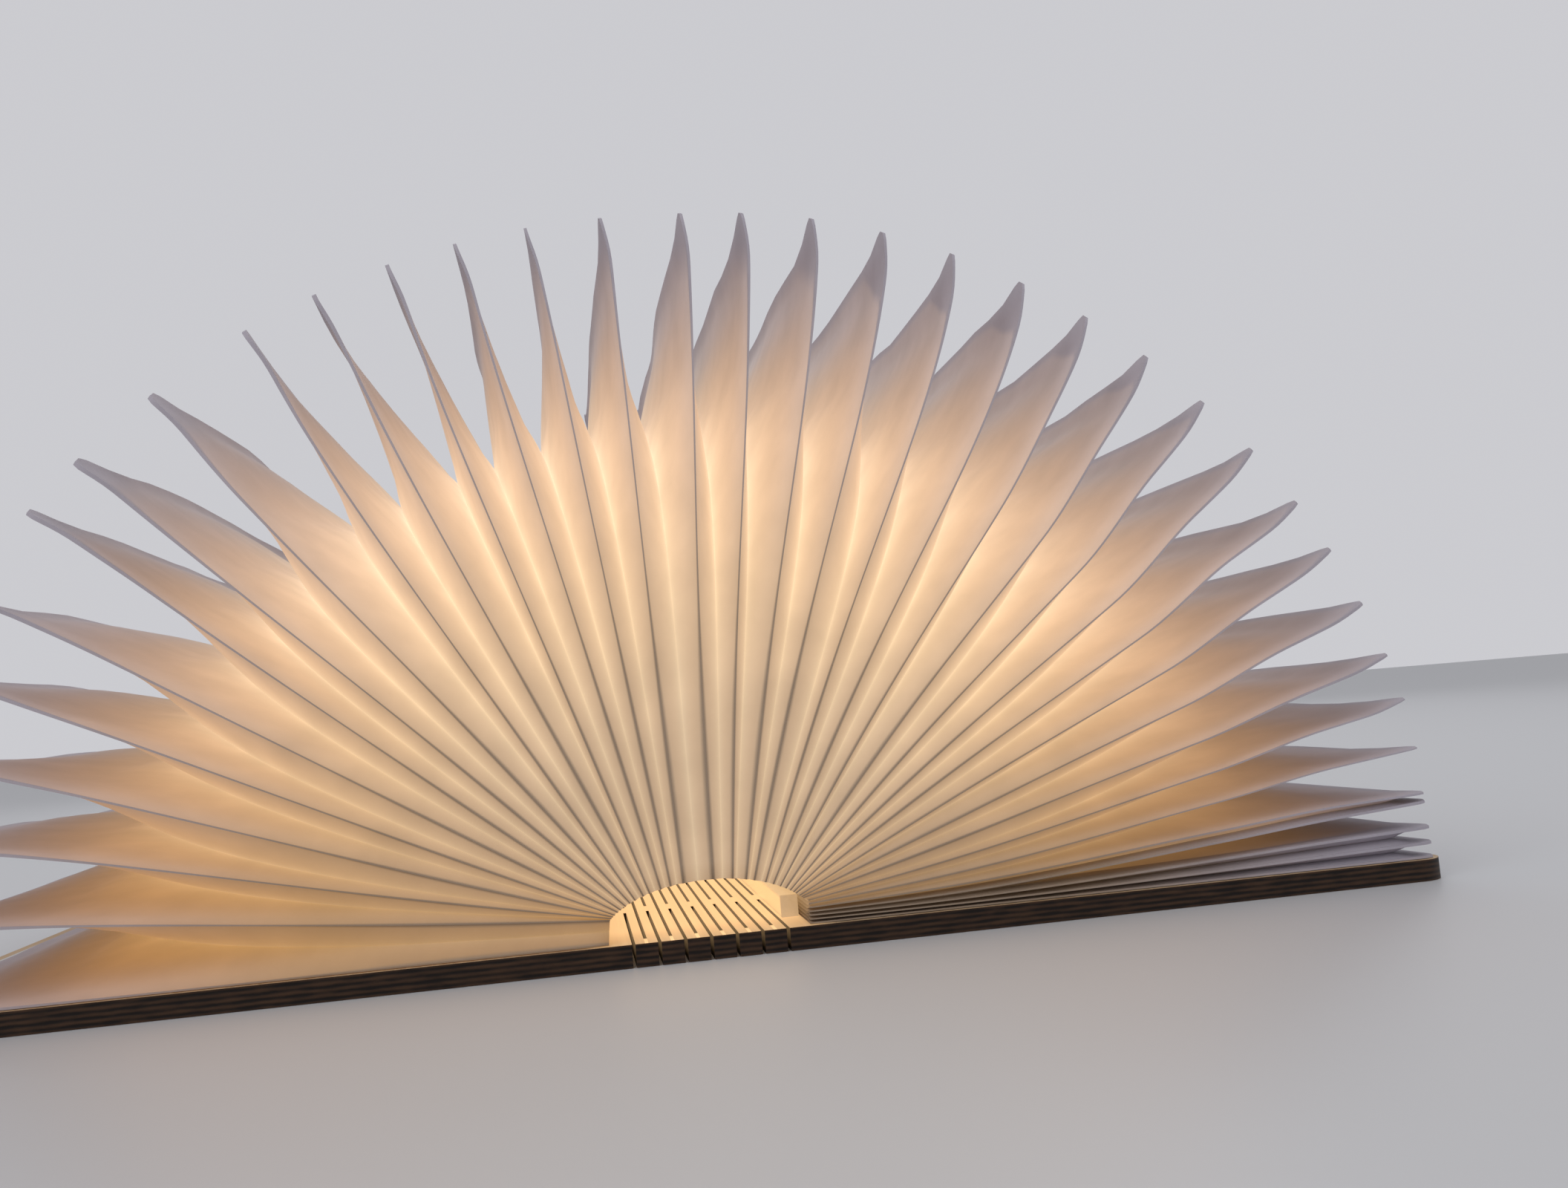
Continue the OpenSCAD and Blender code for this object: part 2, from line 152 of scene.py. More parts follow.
# cut edge: layers with darker glue lines between them, scorched unevenly
split = nodes.new("ShaderNodeSeparateXYZ")
links.new(wood_in.outputs["Place"], split.inputs[0])
layer = nodes.new("ShaderNodeMath")
layer.operation = "MULTIPLY"
layer.inputs[1].default_value = 2 * math.pi * 1000 / veneer_sheet
links.new(split.outputs["Z"], layer.inputs[0])
wave = nodes.new("ShaderNodeMath")
wave.operation = "COSINE"
links.new(layer.outputs[0], wave.inputs[0])
scorch_map = nodes.new("ShaderNodeMapping")
scorch_map.inputs["Scale"].default_value = (160, 160, 900)
links.new(wood_in.outputs["Place"], scorch_map.inputs["Vector"])
scorch = nodes.new("ShaderNodeTexNoise")
scorch.inputs["Scale"].default_value = 1.0
scorch.inputs["Detail"].default_value = 4
links.new(scorch_map.outputs[0], scorch.inputs["Vector"])
mixed = nodes.new("ShaderNodeMath")
mixed.operation = "MULTIPLY_ADD"
mixed.inputs[1].default_value = 0.22
links.new(wave.outputs[0], mixed.inputs[0])
links.new(scorch.outputs["Fac"], mixed.inputs[2])
burnt = nodes.new("ShaderNodeValToRGB")
burnt.color_ramp.elements[0].position, burnt.color_ramp.elements[0].color = 0.28, (0.008, 0.005, 0.004, 1)
burnt.color_ramp.elements[1].position, burnt.color_ramp.elements[1].color = 0.80, (0.060, 0.031, 0.017, 1)
links.new(mixed.outputs[0], burnt.inputs[0])
face_or_cut = nodes.new("ShaderNodeMix")
face_or_cut.data_type = "RGBA"
links.new(wood_in.outputs["Cut"], face_or_cut.inputs[0])
links.new(veneer.outputs[0], face_or_cut.inputs[6])
links.new(burnt.outputs[0], face_or_cut.inputs[7])
links.new(face_or_cut.outputs[2], wood_out.inputs["Color"])
dull = nodes.new("ShaderNodeMapRange")
dull.inputs["To Min"].default_value, dull.inputs["To Max"].default_value = 0.48, 0.62
links.new(streaks.outputs["Fac"], dull.inputs[0])
links.new(dull.outputs[0], wood_out.inputs["Roughness"])
rise = nodes.new("ShaderNodeMix")
rise.data_type = "FLOAT"
links.new(wood_in.outputs["Cut"], rise.inputs[0])
links.new(streaks.outputs["Fac"], rise.inputs[2])
links.new(mixed.outputs[0], rise.inputs[3])
links.new(rise.outputs[0], wood_out.inputs["Relief"])

# a face that looks up or down is veneer, and every other one was cut by the laser
cover_wood = bpy.data.materials.new("cover_plywood")
cover_wood.use_nodes = True
nodes, links = cover_wood.node_tree.nodes, cover_wood.node_tree.links
body = nodes["Principled BSDF"]
where = nodes.new("ShaderNodeTexCoord")
facing = nodes.new("ShaderNodeSeparateXYZ")
links.new(where.outputs["Normal"], facing.inputs[0])
up = nodes.new("ShaderNodeMath")
up.operation = "ABSOLUTE"
links.new(facing.outputs["Z"], up.inputs[0])
cut = nodes.new("ShaderNodeMath")
cut.operation = "LESS_THAN"
cut.inputs[1].default_value = 0.5
links.new(up.outputs[0], cut.inputs[0])
grain = nodes.new("ShaderNodeGroup")
grain.node_tree = wood
links.new(where.outputs["Object"], grain.inputs["Place"])
links.new(cut.outputs[0], grain.inputs["Cut"])
links.new(grain.outputs["Color"], body.inputs["Base Color"])
links.new(grain.outputs["Roughness"], body.inputs["Roughness"])
body.inputs["Specular IOR Level"].default_value = 0.2
bump = nodes.new("ShaderNodeBump")
bump.inputs["Strength"].default_value = 0.25
bump.inputs["Distance"].default_value = 0.0002
links.new(grain.outputs["Relief"], bump.inputs["Height"])
links.new(bump.outputs[0], body.inputs["Normal"])
# painted light: the tunnel light on the upper face as emission, fading out under the pages and at the front
# edge
place = nodes.new("ShaderNodeSeparateXYZ")
links.new(where.outputs["Object"], place.inputs[0])
across = nodes.new("ShaderNodeMath")
across.operation = "ABSOLUTE"
links.new(place.outputs["X"], across.inputs[0])
near = nodes.new("ShaderNodeMapRange")
near.interpolation_type = "SMOOTHSTEP"
near.inputs["From Min"].default_value, near.inputs["From Max"].default_value = 0.030, 0.020
links.new(across.outputs[0], near.inputs[0])
along = nodes.new("ShaderNodeMath")
along.operation = "ABSOLUTE"
links.new(place.outputs["Y"], along.inputs[0])
ends = nodes.new("ShaderNodeMapRange")
ends.interpolation_type = "SMOOTHSTEP"
ends.inputs["From Min"].default_value, ends.inputs["From Max"].default_value = 0.112, 0.085
ends.inputs["To Min"].default_value = 0.40
links.new(along.outputs[0], ends.inputs[0])
# the upper face takes the full light, the walls of the slits less and less with depth
upper = nodes.new("ShaderNodeMath")
upper.operation = "GREATER_THAN"
upper.inputs[1].default_value = 0.5
links.new(facing.outputs["Z"], upper.inputs[0])
slit_wall = nodes.new("ShaderNodeMath")
slit_wall.operation = "ABSOLUTE"
links.new(facing.outputs["X"], slit_wall.inputs[0])
lesser = nodes.new("ShaderNodeMath")
lesser.operation = "MULTIPLY"
lesser.inputs[1].default_value = 0.30
links.new(slit_wall.outputs[0], lesser.inputs[0])
taken = nodes.new("ShaderNodeMath")
taken.operation = "MAXIMUM"
links.new(upper.outputs[0], taken.inputs[0])
links.new(lesser.outputs[0], taken.inputs[1])
high = nodes.new("ShaderNodeMapRange")
high.interpolation_type = "SMOOTHSTEP"
high.inputs["From Min"].default_value, high.inputs["From Max"].default_value = 0.0005, 0.005
links.new(place.outputs["Z"], high.inputs[0])
in_reach = nodes.new("ShaderNodeMath")
in_reach.operation = "MULTIPLY"
links.new(near.outputs[0], in_reach.inputs[0])
links.new(ends.outputs[0], in_reach.inputs[1])
in_view = nodes.new("ShaderNodeMath")
in_view.operation = "MULTIPLY"
links.new(taken.outputs[0], in_view.inputs[0])
links.new(high.outputs[0], in_view.inputs[1])
glow_share = nodes.new("ShaderNodeMath")
glow_share.operation = "MULTIPLY"
links.new(in_reach.outputs[0], glow_share.inputs[0])
links.new(in_view.outputs[0], glow_share.inputs[1])
shine = nodes.new("ShaderNodeMix")
shine.data_type = "RGBA"
shine.inputs[6].default_value = no_light
shine.inputs[7].default_value = tunnel_glow
links.new(glow_share.outputs[0], shine.inputs[0])
links.new(shine.outputs[2], body.inputs["Emission Color"])
body.inputs["Emission Strength"].default_value = 1.0


def dress(node_name, material):
    """Give one piece of the part its material."""
    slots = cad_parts[node_name].data.materials
    slots.clear()
    slots.append(material)


for name in body_names:
    dress(name, cover_wood)

# ---- Bridges ------------------------------------------------------------------------
# The short stays of wood left between the ends of the slits. They twist and bend as the book turns about its
# spine; here each column of them is made as its own piece.
bridge_len, edge_bridge, bends = 9.2, 6.4, 3
slit_long = (depth - bridge_len - 2 * edge_bridge) / 2
open_slit = (depth - slit_long - 2 * bridge_len) / 2
stay_wood = bpy.data.materials.new("stay_wood")
stay_wood.use_nodes = True
nodes, links = stay_wood.node_tree.nodes, stay_wood.node_tree.links
where = nodes.new("ShaderNodeTexCoord")
grain = nodes.new("ShaderNodeGroup")
grain.node_tree = wood
on_cut = nodes.new("ShaderNodeAttribute")
on_cut.attribute_name = "cut"
links.new(where.outputs["Object"], grain.inputs["Place"])
links.new(on_cut.outputs["Fac"], grain.inputs["Cut"])
body = nodes["Principled BSDF"]
links.new(grain.outputs["Color"], body.inputs["Base Color"])
links.new(grain.outputs["Roughness"], body.inputs["Roughness"])
body.inputs["Specular IOR Level"].default_value = 0.2
# painted light: the tunnel's glow as emission on the stays' upper faces, none on their cut sides
painted_glow_top = nodes.new("ShaderNodeMix")
painted_glow_top.data_type = "RGBA"
painted_glow_top.inputs[6].default_value = tunnel_glow
painted_glow_top.inputs[7].default_value = no_light
links.new(on_cut.outputs["Fac"], painted_glow_top.inputs[0])
links.new(painted_glow_top.outputs[2], body.inputs["Emission Color"])
body.inputs["Emission Strength"].default_value = 1.0

for i in range(1, columns + 1):
    x = (i - (columns + 1) / 2) * slit_pitch
    # where each stay begins along the spine, and how long it is
    if i % 2:
        stays = [(-depth / 2 + open_slit, bridge_len),
                 (-depth / 2 + open_slit + bridge_len + slit_long, bridge_len)]
    else:
        stays = [(-depth / 2, edge_bridge), (-bridge_len / 2, bridge_len),
                 (depth / 2 - edge_bridge, edge_bridge)]
    bm = bmesh.new()
    for y0, run in stays:
        made = bmesh.ops.create_cube(bm, size=1)["verts"]
        bmesh.ops.scale(bm, verts=made, vec=(slit_w / 1000, run / 1000, ply / 1000))
        bmesh.ops.translate(bm, verts=made, vec=(x / 1000, (y0 + run / 2) / 1000, ply / 2000))
    across = [e for e in bm.edges if abs(e.verts[0].co.x - e.verts[1].co.x) > 1e-5]
    bmesh.ops.subdivide_edges(bm, edges=across, cuts=bends, use_grid_fill=True)
    cut = bm.faces.layers.float.new("cut")
    for f in bm.faces:
        f[cut] = 0.0 if f.normal.z > 0.5 else 1.0
    piece = bpy.data.objects.new(f"stays_{i:02d}", bpy.data.meshes.new(f"stays_{i:02d}"))
    bm.to_mesh(piece.data)
    bm.free()
    piece.data.materials.append(stay_wood)
    bpy.context.scene.collection.objects.link(piece)
    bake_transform(piece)
    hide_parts(f"bridges_{i:02d}")

# ---- Paper fan ----------------------------------------------------------------------
# Thirty-six closed pockets of spun white paper. The two sheets of a pocket are pressed
# together along the front, the back and the tip, and open towards the lit tunnel;
# neighbours are bonded back to back, so each swells like a pillow between its seams.

# millimetres: two sheets, one sheet, and how far the pages stay back from the ends and
# the sides of the covers; then the tunnel's half width and height, and where its feet
# and the first page lie
paper, sheet, inset, setback = 0.18, 0.09, 2.1, 1.2
tunnel_half_w, tunnel_h, tunnel_side, fan_floor = 24.4, 12.1, 22.3, 5.33
page_depth = depth - 2 * setback
page_len = width / 2 - inset - tunnel_half_w
# the open groove between neighbours at the front edge, the shares of the length at which
# their bond runs out and a pocket closes, and the round of a page's corners
groove, bond_share, tip_share, corner = 1.5, 0.775, 0.985, 3.5
pockets = 36
# the last pocket of the even fan: those after it lie in a stack on the right cover
fan_last = 28
# degrees: pocket 1 from the left cover, the even fan, and where the stack begins and its spread
first_lift, fan_spread, stack_from, stack_spread = 5.8, 156.6, 162.4, 17.6
# millimetres from one inner end to the next in the stack
stack_step = 0.85
# pockets bonded flat to the next one up to the tip
stacked = (31, 33, 34)
# hand-made pages lean a little out of step: millimetres at the tip, towards the right
lean = {6: 2.5, 7: -3.5, 8: -3, 9: 3, 10: 2.5, 11: 1.3, 15: 2.5, 20: 1,
        29: -2, 30: -1.2, 31: 1.2, 32: -4, 33: -3, 34: -2.4}
# some curl round towards the right behind their front edge
curled = {6: 2, 7: 6.5, 8: 5.5, 13: 1.5, 19: 1.5}


def angle(k):
    """Degrees from the left cover to pocket k, open flat."""
    if k <= 0:
        return 0.0
    if k > fan_last:
        return stack_from + stack_spread * (1 - (1 - (k - fan_last) / (pockets - 1 - fan_last)) ** 2)
    x = math.pi * (k - 1) / (fan_last - 1)
    return (first_lift + fan_spread * (k - 1) / (fan_last - 1) + 4.6 * math.sin(x) + 1.2 * math.sin(2 * x)
            + 0.5 * math.sin(3 * x) - 0.8 * math.sin(4 * x))


def smooth(x):
    """A soft step from 0 to 1."""
    x = min(1, max(0, x))
    return x * x * (3 - 2 * x)


def middle(k, t):
    """Point (x, z) on the middle line of pocket k at share t of its length, in mm."""
    a = math.radians(angle(k))
    # the inner ends stand on the tunnel's arch, closer together near its feet
    gather = math.copysign(abs(math.cos(a)) ** 0.6, math.cos(a))
    unevenness = 3 * noise(Vector((1.7 * k, 0, 0))) * math.sin(a)
    arch = math.radians(90 - 52 * gather - 12 * (90 - angle(k)) / 90 + unevenness)
    if k <= 0:
        start = (-tunnel_side, fan_floor)
    elif k > fan_last:
        start = (tunnel_side, fan_floor + (pockets - 1 - k) * stack_step)
    else:
        start = (-tunnel_half_w * math.cos(arch), ply + tunnel_h * math.sin(arch))
    longer = 2.2 * smooth((k - 14) / 4) * smooth((31.5 - k) / 2.5)
    end = (-(tunnel_half_w + page_len + longer) * math.cos(a),
           fan_floor + (tunnel_h + page_len + longer) * math.sin(a))
    # across the page: the long bow, greatest at three quarters of the length and less near
    # the tips on the right, then each page's own lean and the curl that the middle pages
    # share, and a slow wave in the last ones
    bow = 1.8 - 2.1 * math.cos(a) + 0.5 * math.cos(2 * a) + 1.9 * math.cos(3 * a)
    bow *= min(1, math.degrees(a) / 6, (180 - math.degrees(a)) / 12)
    peak = 0.1055  # the greatest value of t ** 3 * (1 - t)
    bow *= max(t, 0) ** 3 * (1 - t) / peak * (1 - 0.55 * smooth((k - 19) / 5) * smooth((t - 0.65) / 0.2))
    bow += lean.get(k, 0) * max(t, 0) ** 2 + 3 * smooth((k - 10) / 9) * smooth((31 - k) / 3) * max(t, 0) ** 4
    bow += 1.3 * math.sin(2 * math.pi * t) * smooth((k - 24) / 6) * smooth((pockets - 1 - k) / 5)
    return (start[0] + t * (end[0] - start[0]) + bow * math.sin(a),
            start[1] + t * (end[1] - start[1]) + bow * math.cos(a))


def joint_place(k):
    """Where pocket k sits along the thirteen joints of the spine."""
    return columns * angle(k) / 180


def parting(k):
    """Share of the way from pocket k to the next at which the two are bonded.

    It is kept close to where one slat gives way to another.
    """
    here, after = joint_place(k), joint_place(k + 1)
    slat = min(columns - 1, int(after))
    return min(0.7, max(0.3, (slat - here) / (after - here))) if slat > here else 0.5


def opening(k, t, flat):
    """Share of the way to the neighbour that pocket k swells to, at share t of its length."""
    if flat:
        return 1 - smooth((t - 0.93) / 0.05)
    full = smooth((k - 15) / 8)
    shut = tip_share - 0.03 * full
    fall = shut - bond_share + 0.02 * full + 0.02 * smooth((6 - k) / 3)
    part = min(1, max(0, (shut - t) / fall))
    return part + (0.2 + 0.6 * full) * (math.sin(math.pi / 2 * part) - part)


def bonded_from(t, flat):
    """How far in from the front edge two neighbours are bonded, at share t of their length."""
    if flat:
        return groove + 1.5
    half_depth = page_depth / 2
    curve = 1 - math.sqrt(1 - min(1, t / bond_share) ** 4)
    return min(groove + (half_depth - groove) * curve, 0.95 * half_depth)


def lamplight(k, t, face):
    """Colour of the painted light through the paper at share t, from the seam (face 0) to the bonded wall
    (face 1).
    """
    a = angle(k)
    # low: how near the left cover; the light is weaker there and over the right cover, and
    # yellower, and at every page it fades towards the inner end and the tip
    low = max(0, 1 - a / 60)
    strength = 0.38 + 0.34 * face ** 0.7 + 0.05 * face ** 12
    strength *= 1 - (0.34 - 0.22 * low) * (1 - smooth((t - 0.1) / 0.4))
    strength *= 1 - 0.90 * smooth((t - 0.62) / 0.42)
    strength *= min(1, 0.46 + a / 100) if a < 90 else min(1, 1.05 * math.sqrt(max(0, 180 - a) / 45))
    amber = low ** 2 if a < 90 else 0.8 * max(0, 1 - (180 - a) / 55) ** 2
    return (strength, strength * (0.66 + 0.10 * face ** 2 - 0.20 * amber),
            strength * (0.38 + 0.10 * face ** 2 - 0.29 * amber), 1)


def pocket(k, runs=48, half=14, wall=10):
    """Closed pocket k: two grids bent to shape and joined round the front, the tip and the back.

    runs, half and wall: steps along the page, from an edge to its middle, and over the curve between.
    """
    lower = min(columns - 1, int(joint_place(k)))
    half_depth = page_depth / 2
    # the width of the unlit band of painted shade at the tip, and how softly it begins
    unlit_tip_band = max(2, 10 + 7 * smooth((k - 15) / 3) - 2.4 * max(0, k - 18))
    soft = 2.5 + 11 * smooth((19 - k) / 4)
    bm = bmesh.new()
    turn = bm.verts.layers.float.new("turn")
    lit = bm.verts.layers.float_color.new("lit")
    margin = bm.verts.layers.float.new("margin")
    painted_lamp_tint = bm.verts.layers.float.new("painted_lamp_tint")
    inner = []
    for s in (-1, 1):
        made = bmesh.ops.create_grid(bm, x_segments=runs, y_segments=2 * half, size=0.5)["verts"]
        pasted = not 0 <= k + s < pockets
        flat = min(k, k + s) in stacked
        share = 0 if pasted else parting(k) if s > 0 else 1 - parting(k - 1)
        shared = joint_place(k) + share * (joint_place(k + s) - joint_place(k))
        for v in made:
            # rows of points are closer together towards the tip
            t = 1 - (0.5 - v.co.x) ** 1.25 if v.co.x < 0.4999 else 1.0
            row = round((v.co.y + 0.5) * 2 * half)
            near = min(row, 2 * half - row)
            seam = 0.12 + 0.6 * t ** 4
            back = bonded_from(t, flat)
            face = (1 - math.cos(math.pi * min(1, max(0, (near - 1) / wall)))) / 2
            # one step over the seam, then the curved wall, then the bonded face
            if near <= 1:
                from_edge = seam * near
            elif near <= 1 + wall:
                from_edge = seam + (back - seam) * face
            else:
                from_edge = back + (half_depth - back) * (near - 1 - wall) / (half - 1 - wall)
            past = max(0, 1 - (1 - t) * page_len / corner)
            tip_in = corner * (1 - math.sqrt(1 - past * past))
            across = from_edge + tip_in * (1 - from_edge / half_depth)
            y = across if row <= half else page_depth - across
            # the sealed outer edge draws in a little between its corners, and waves
            drawn_in = 3.5 * smooth(from_edge / 16)
            drawn_in += 1.6 * noise(Vector((3.7 * k, y / 30, 0.5))) * smooth(from_edge / 20)
            reach = t - t ** 5 * drawn_in / page_len
            here = Vector(middle(k, reach))
            thin, nib = 0.12 + 0.2 * t * smooth((k - 30) / 2), 0.22 + 0.16 * smooth((13 - k) / 3)
            if pasted:
                off, rise = Vector((0, -paper)), 0.0
            else:
                rise = (0.5 * face + 0.5 * math.sin(math.pi / 2 * face)) * opening(k, t, flat)
                wall_at = (Vector(middle(k + s, reach)) - here) * share
                least = thin + nib * min(t, (180 - angle(k)) / 20) ** 4
                off = wall_at.normalized() * max(wall_at.length * rise, least)
            # free tips curl and wave a little
            if 0 < k < 30:
                a = math.radians(angle(k))
                curl = -1.2 * smooth((t - 0.9) / 0.1) ** 2
                curl += 1.5 * noise(Vector((5.1 * k, y / 60, 2.5))) * smooth((t - 0.8) / 0.2)
                curl += curled.get(k, 0) * t ** 7 * (1 - math.exp(-y / 25))
                off += curl * Vector((math.sin(a), math.cos(a)))
            v.co = ((here.x + off.x) / 1000, (-depth / 2 + setback + y) / 1000, (here.y + off.y) / 1000)
            v[turn] = min(max(joint_place(k) + (shared - joint_place(k)) * rise - lower, 0), 1)
            v[lit] = lamplight(k, t, face)
            # painted light: share of the warm lamp-lit base tone, full up to a third of the length and gone at
            # nine tenths
            v[painted_lamp_tint] = 1 - smooth((t - 0.35) / 0.55)
            # painted shade: how far a point lies inside the unlit line at the seam and the unlit band at the
            # tip
            band = 2 + (unlit_tip_band - 2) * (1 - smooth(from_edge / 25))
            past_seam = (from_edge - seam - 5 * smooth((k - 31) / 2)) / 0.35
            v[margin] = min(past_seam, ((1 - t) * page_len - band) / soft + 0.5)
            if t < 0.001:
                inner.append(v)
    inner = set(inner)
    rim = [e for e in bm.edges if e.is_boundary and not (e.verts[0] in inner and e.verts[1] in inner)]
    for e in rim:
        e.smooth = False
    bmesh.ops.bridge_loops(bm, edges=rim)
    bmesh.ops.recalc_face_normals(bm, faces=bm.faces)
    for f in bm.faces:
        f.smooth = True
    piece = bpy.data.objects.new(f"pocket_{k:02d}", bpy.data.meshes.new(f"pocket_{k:02d}"))
    bm.to_mesh(piece.data)
    bm.free()
    bpy.context.scene.collection.objects.link(piece)
    return piece, lower


# the look of the paper: soft clouds in its colour and finer threads in its sheen
fibres = bpy.data.node_groups.new("spun_fibres", "ShaderNodeTree")
fibres.interface.new_socket("Place", in_out="INPUT", socket_type="NodeSocketVector")
fibres.interface.new_socket("Cloud", in_out="OUTPUT", socket_type="NodeSocketFloat")
fibres.interface.new_socket("Roughness", in_out="OUTPUT", socket_type="NodeSocketFloat")
nodes, links = fibres.nodes, fibres.links
fibres_in, fibres_out = nodes.new("NodeGroupInput"), nodes.new("NodeGroupOutput")
flocks = nodes.new("ShaderNodeTexNoise")
flocks.inputs["Scale"].default_value = 90
flocks.inputs["Detail"].default_value = 3
threads = nodes.new("ShaderNodeTexNoise")
threads.inputs["Scale"].default_value = 600
threads.inputs["Detail"].default_value = 3
threads.inputs["Distortion"].default_value = 2.0
links.new(fibres_in.outputs[0], flocks.inputs["Vector"])
links.new(fibres_in.outputs[0], threads.inputs["Vector"])
sheen = nodes.new("ShaderNodeMapRange")
sheen.inputs["To Min"].default_value, sheen.inputs["To Max"].default_value = 0.62, 0.82
links.new(threads.outputs["Fac"], sheen.inputs[0])
spread = nodes.new("ShaderNodeMapRange")
spread.inputs["From Min"].default_value, spread.inputs["From Max"].default_value = 0.25, 0.75
spread.inputs["To Min"].default_value, spread.inputs["To Max"].default_value = 0.93, 1.05
links.new(flocks.outputs["Fac"], spread.inputs[0])
links.new(spread.outputs[0], fibres_out.inputs["Cloud"])
links.new(sheen.outputs[0], fibres_out.inputs["Roughness"])

page_paper = bpy.data.materials.new("spun_paper")
page_paper.use_nodes = True
nodes, links = page_paper.node_tree.nodes, page_paper.node_tree.links
body = nodes["Principled BSDF"]
where = nodes.new("ShaderNodeTexCoord")
sheet_marks = nodes.new("ShaderNodeGroup")
sheet_marks.node_tree = fibres
links.new(where.outputs["Object"], sheet_marks.inputs["Place"])
tint = nodes.new("ShaderNodeMix")
tint.data_type = "RGBA"
tint.blend_type = "MULTIPLY"
tint.inputs[0].default_value = 1.0
# painted light in the base colour: cool lilac white at the tips under the cool surround, and a darker warm
# cream where the lamp lights it
painted_tint = nodes.new("ShaderNodeMix")
painted_tint.data_type = "RGBA"
painted_tint.inputs[6].default_value = (0.42, 0.385, 0.44, 1)
painted_tint.inputs[7].default_value = (0.30, 0.225, 0.165, 1)
lamp_tint_share = nodes.new("ShaderNodeAttribute")
lamp_tint_share.attribute_name = "painted_lamp_tint"
links.new(lamp_tint_share.outputs["Fac"], painted_tint.inputs[0])
links.new(painted_tint.outputs[2], tint.inputs[6])
links.new(sheet_marks.outputs["Cloud"], tint.inputs[7])
links.new(tint.outputs[2], body.inputs["Base Color"])
# painted light: the lamp's light through the paper, laid on as emission
painted = nodes.new("ShaderNodeAttribute")
painted.attribute_name = "lit"
through = nodes.new("ShaderNodeMix")
through.data_type = "RGBA"
through.blend_type = "MULTIPLY"
through.inputs[0].default_value = 1.0
links.new(painted.outputs["Color"], through.inputs[6])
links.new(sheet_marks.outputs["Cloud"], through.inputs[7])
# painted shade: the margins stay unlit, their emission dimmed along a thin line at the pressed seams and in a
# band at the tip
from_margin = nodes.new("ShaderNodeAttribute")
from_margin.attribute_name = "margin"
margin_shade = nodes.new("ShaderNodeMapRange")
margin_shade.interpolation_type = "SMOOTHSTEP"
margin_shade.inputs["To Min"].default_value, margin_shade.inputs["To Max"].default_value = 0.16, 1.0
links.new(from_margin.outputs["Fac"], margin_shade.inputs[0])
shown = nodes.new("ShaderNodeMix")
shown.data_type = "RGBA"
shown.blend_type = "MULTIPLY"
shown.inputs[0].default_value = 1.0
links.new(through.outputs[2], shown.inputs[6])
links.new(margin_shade.outputs[0], shown.inputs[7])
links.new(shown.outputs[2], body.inputs["Emission Color"])
body.inputs["Emission Strength"].default_value = 1.0
links.new(sheet_marks.outputs["Roughness"], body.inputs["Roughness"])

for k in range(pockets):
    piece, lower = pocket(k)
    piece.data.materials.append(page_paper)
    thickness = piece.modifiers.new("sheet", "SOLIDIFY")
    thickness.thickness, thickness.offset = sheet / 1000, -1
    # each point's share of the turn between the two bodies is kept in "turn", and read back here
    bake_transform(piece)
    turns = [0.0] * len(piece.data.vertices)
    piece.data.attributes["turn"].data.foreach_get("value", turns)
    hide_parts(f"pages_{round(joint_place(k)):02d}")

# ---- Bonding film -------------------------------------------------------------------
# Clear film that pastes the first and the last sheet of the fan to the covers, and a
# strip of it that holds the light bar to the right cover.
film = bpy.data.materials.new("bonding_film")
film.use_nodes = True
nodes, links = film.node_tree.nodes, film.node_tree.links
where = nodes.new("ShaderNodeTexCoord")
sheet_marks = nodes.new("ShaderNodeGroup")
sheet_marks.node_tree = fibres
links.new(where.outputs["Object"], sheet_marks.inputs["Place"])
tint = nodes.new("ShaderNodeMix")
tint.data_type = "RGBA"
tint.blend_type = "MULTIPLY"
tint.inputs[0].default_value = 1.0
tint.inputs[6].default_value = (0.55, 0.53, 0.5, 1)
links.new(sheet_marks.outputs["Cloud"], tint.inputs[7])
links.new(tint.outputs[2], nodes["Principled BSDF"].inputs["Base Color"])
nodes["Principled BSDF"].inputs["Roughness"].default_value = 0.35
for name in ("tape_left", "tape_right", "bar_tape"):
    dress(name, film)

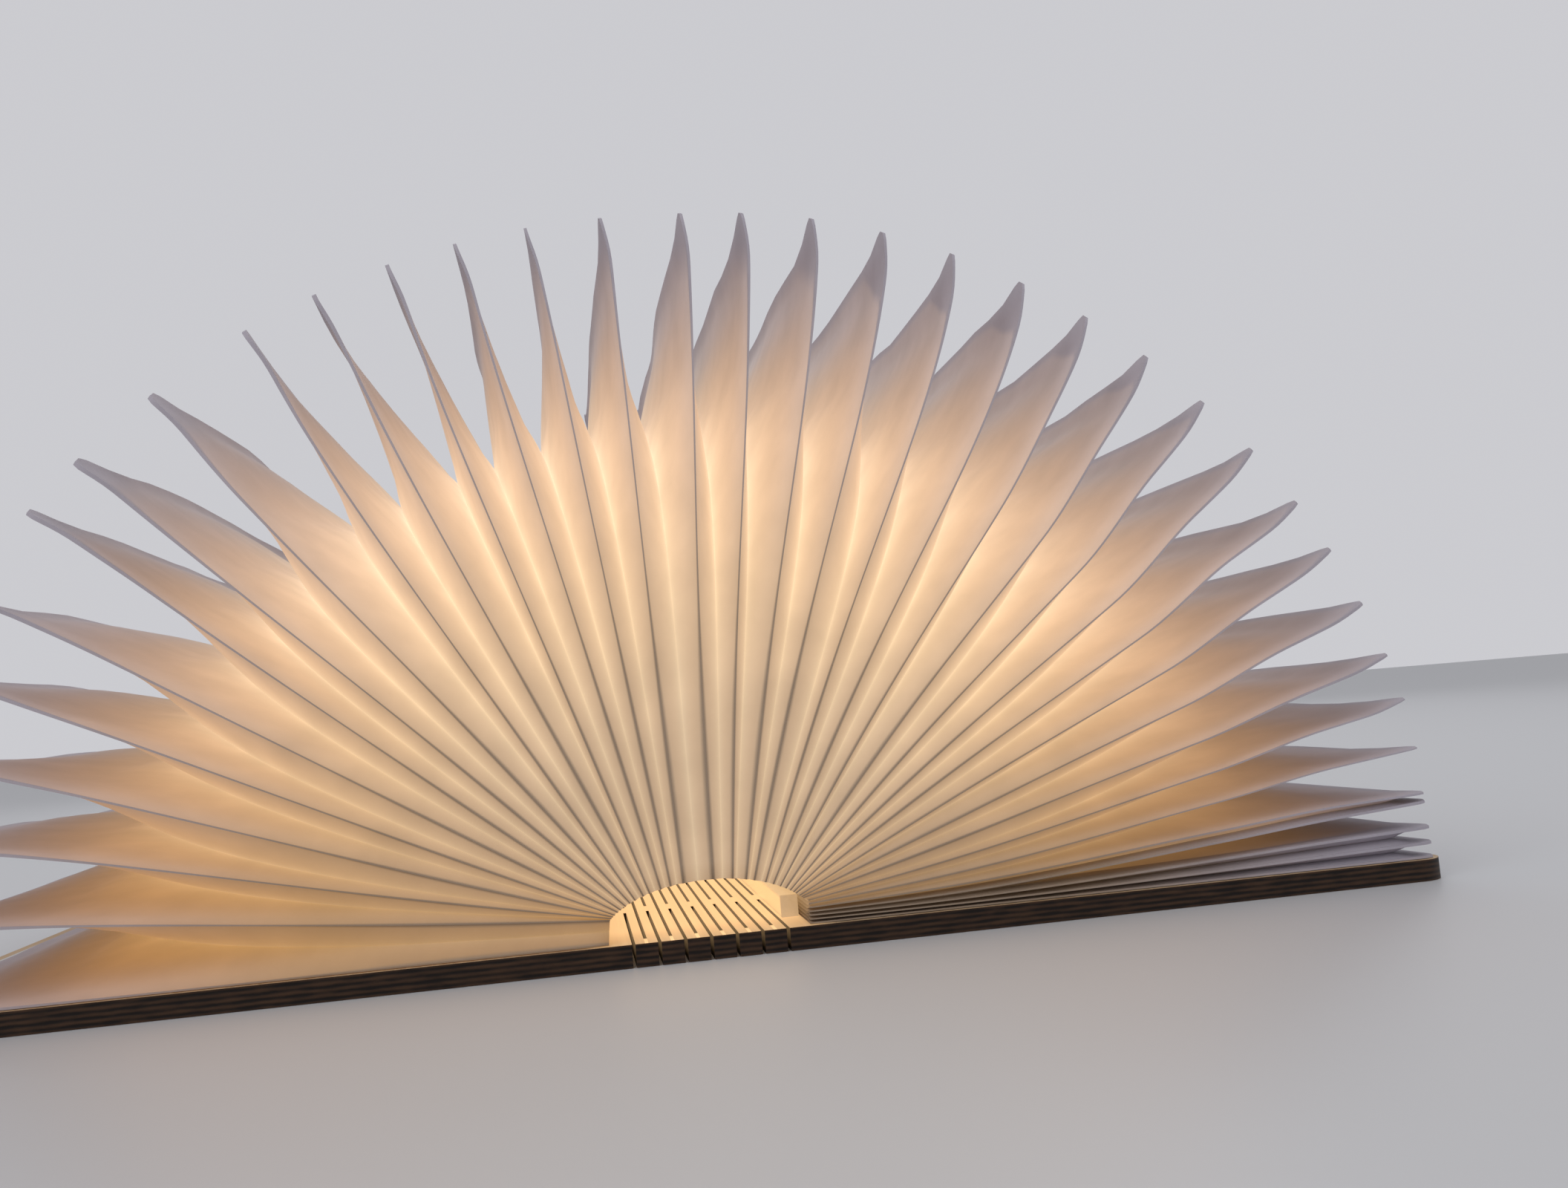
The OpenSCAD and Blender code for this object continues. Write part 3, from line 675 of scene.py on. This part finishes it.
# ---- Light bar ----------------------------------------------------------------------
# A slim white aluminium channel with a frosted lens and two end caps, stuck to the
# right cover beside the spine, with a strip of warm diodes inside.
def finish(name, colour, rough, metal=0.0, marks=900, depth_of_marks=0.00003, emission=None):
    """A plain finish with fine wear marks in its colour, gloss and relief.

    emission: red, green, blue and strength of the light it gives: the chips' and the lens's own, or painted
    light on the channel and caps.
    """
    coat = bpy.data.materials.new(name)
    coat.use_nodes = True
    nodes, links = coat.node_tree.nodes, coat.node_tree.links
    body = nodes["Principled BSDF"]
    where = nodes.new("ShaderNodeTexCoord")
    fine = nodes.new("ShaderNodeTexNoise")
    fine.inputs["Scale"].default_value = marks
    fine.inputs["Detail"].default_value = 4
    links.new(where.outputs["Object"], fine.inputs["Vector"])
    shade = nodes.new("ShaderNodeMix")
    shade.data_type = "RGBA"
    shade.inputs[6].default_value = (*[c * 0.86 for c in colour], 1)
    shade.inputs[7].default_value = (*[min(1, c * 1.1) for c in colour], 1)
    links.new(fine.outputs["Fac"], shade.inputs[0])
    links.new(shade.outputs[2], body.inputs["Base Color"])
    gloss = nodes.new("ShaderNodeMapRange")
    gloss.inputs["To Min"].default_value = rough * 0.85
    gloss.inputs["To Max"].default_value = min(1, rough * 1.15)
    links.new(fine.outputs["Fac"], gloss.inputs[0])
    links.new(gloss.outputs[0], body.inputs["Roughness"])
    body.inputs["Metallic"].default_value = metal
    bump = nodes.new("ShaderNodeBump")
    bump.inputs["Strength"].default_value = 0.3
    bump.inputs["Distance"].default_value = depth_of_marks
    links.new(fine.outputs["Fac"], bump.inputs["Height"])
    links.new(bump.outputs[0], body.inputs["Normal"])
    if emission:
        body.inputs["Emission Color"].default_value = (*emission[:3], 1)
        body.inputs["Emission Strength"].default_value = emission[3]
    return coat


# the channel and the end caps glow with painted light: emission for the diodes' light falling on them
for node_name, material in (
        ("bar_channel", finish("white_aluminium", (0.62, 0.60, 0.56), 0.35, emission=(0.38, 0.24, 0.11, 1.0))),
        ("bar_end_caps", finish("white_plastic", (0.60, 0.57, 0.52), 0.45, emission=(0.26, 0.16, 0.07, 1.0))),
        ("bar_lens", finish("lit_lens", (0.75, 0.66, 0.5), 0.3, emission=(0.46, 0.30, 0.14, 1.0))),
        ("led_strip", finish("strip_board", (0.65, 0.6, 0.45), 0.4)),
        ("led_chips", finish("led_phosphor", (0.75, 0.6, 0.2), 0.35, emission=(1.0, 0.75, 0.4, 4.0)))):
    dress(node_name, material)

# ---- Battery, board and magnets -----------------------------------------------------
# A flat foil cell, a charging board with its sensor, red leads, and nickel disc
# magnets, all let into the covers under the first sheets.
nickel = finish("magnet_nickel", (0.62, 0.60, 0.57), 0.22, 1.0)
for node_name, material in (
        ("battery", finish("battery_foil", (0.55, 0.56, 0.58), 0.3, 0.9, 300, 0.0001)),
        ("charge_board", finish("green_board", (0.02, 0.12, 0.05), 0.4)),
        ("hall_sensor", finish("black_plastic", (0.02, 0.02, 0.022), 0.4)),
        ("wires", finish("red_wire", (0.45, 0.02, 0.02), 0.4)),
        ("sensor_magnet", nickel), ("magnets_left", nickel), ("magnets_right", nickel)):
    dress(node_name, material)

# ---- Charging socket ----------------------------------------------------------------
# A drawn steel shell with rounded ends, let through the back edge of the right cover,
# with its tongue inside.
dress("usb_socket", finish("socket_steel", (0.58, 0.57, 0.55), 0.25, 1.0, 1500))
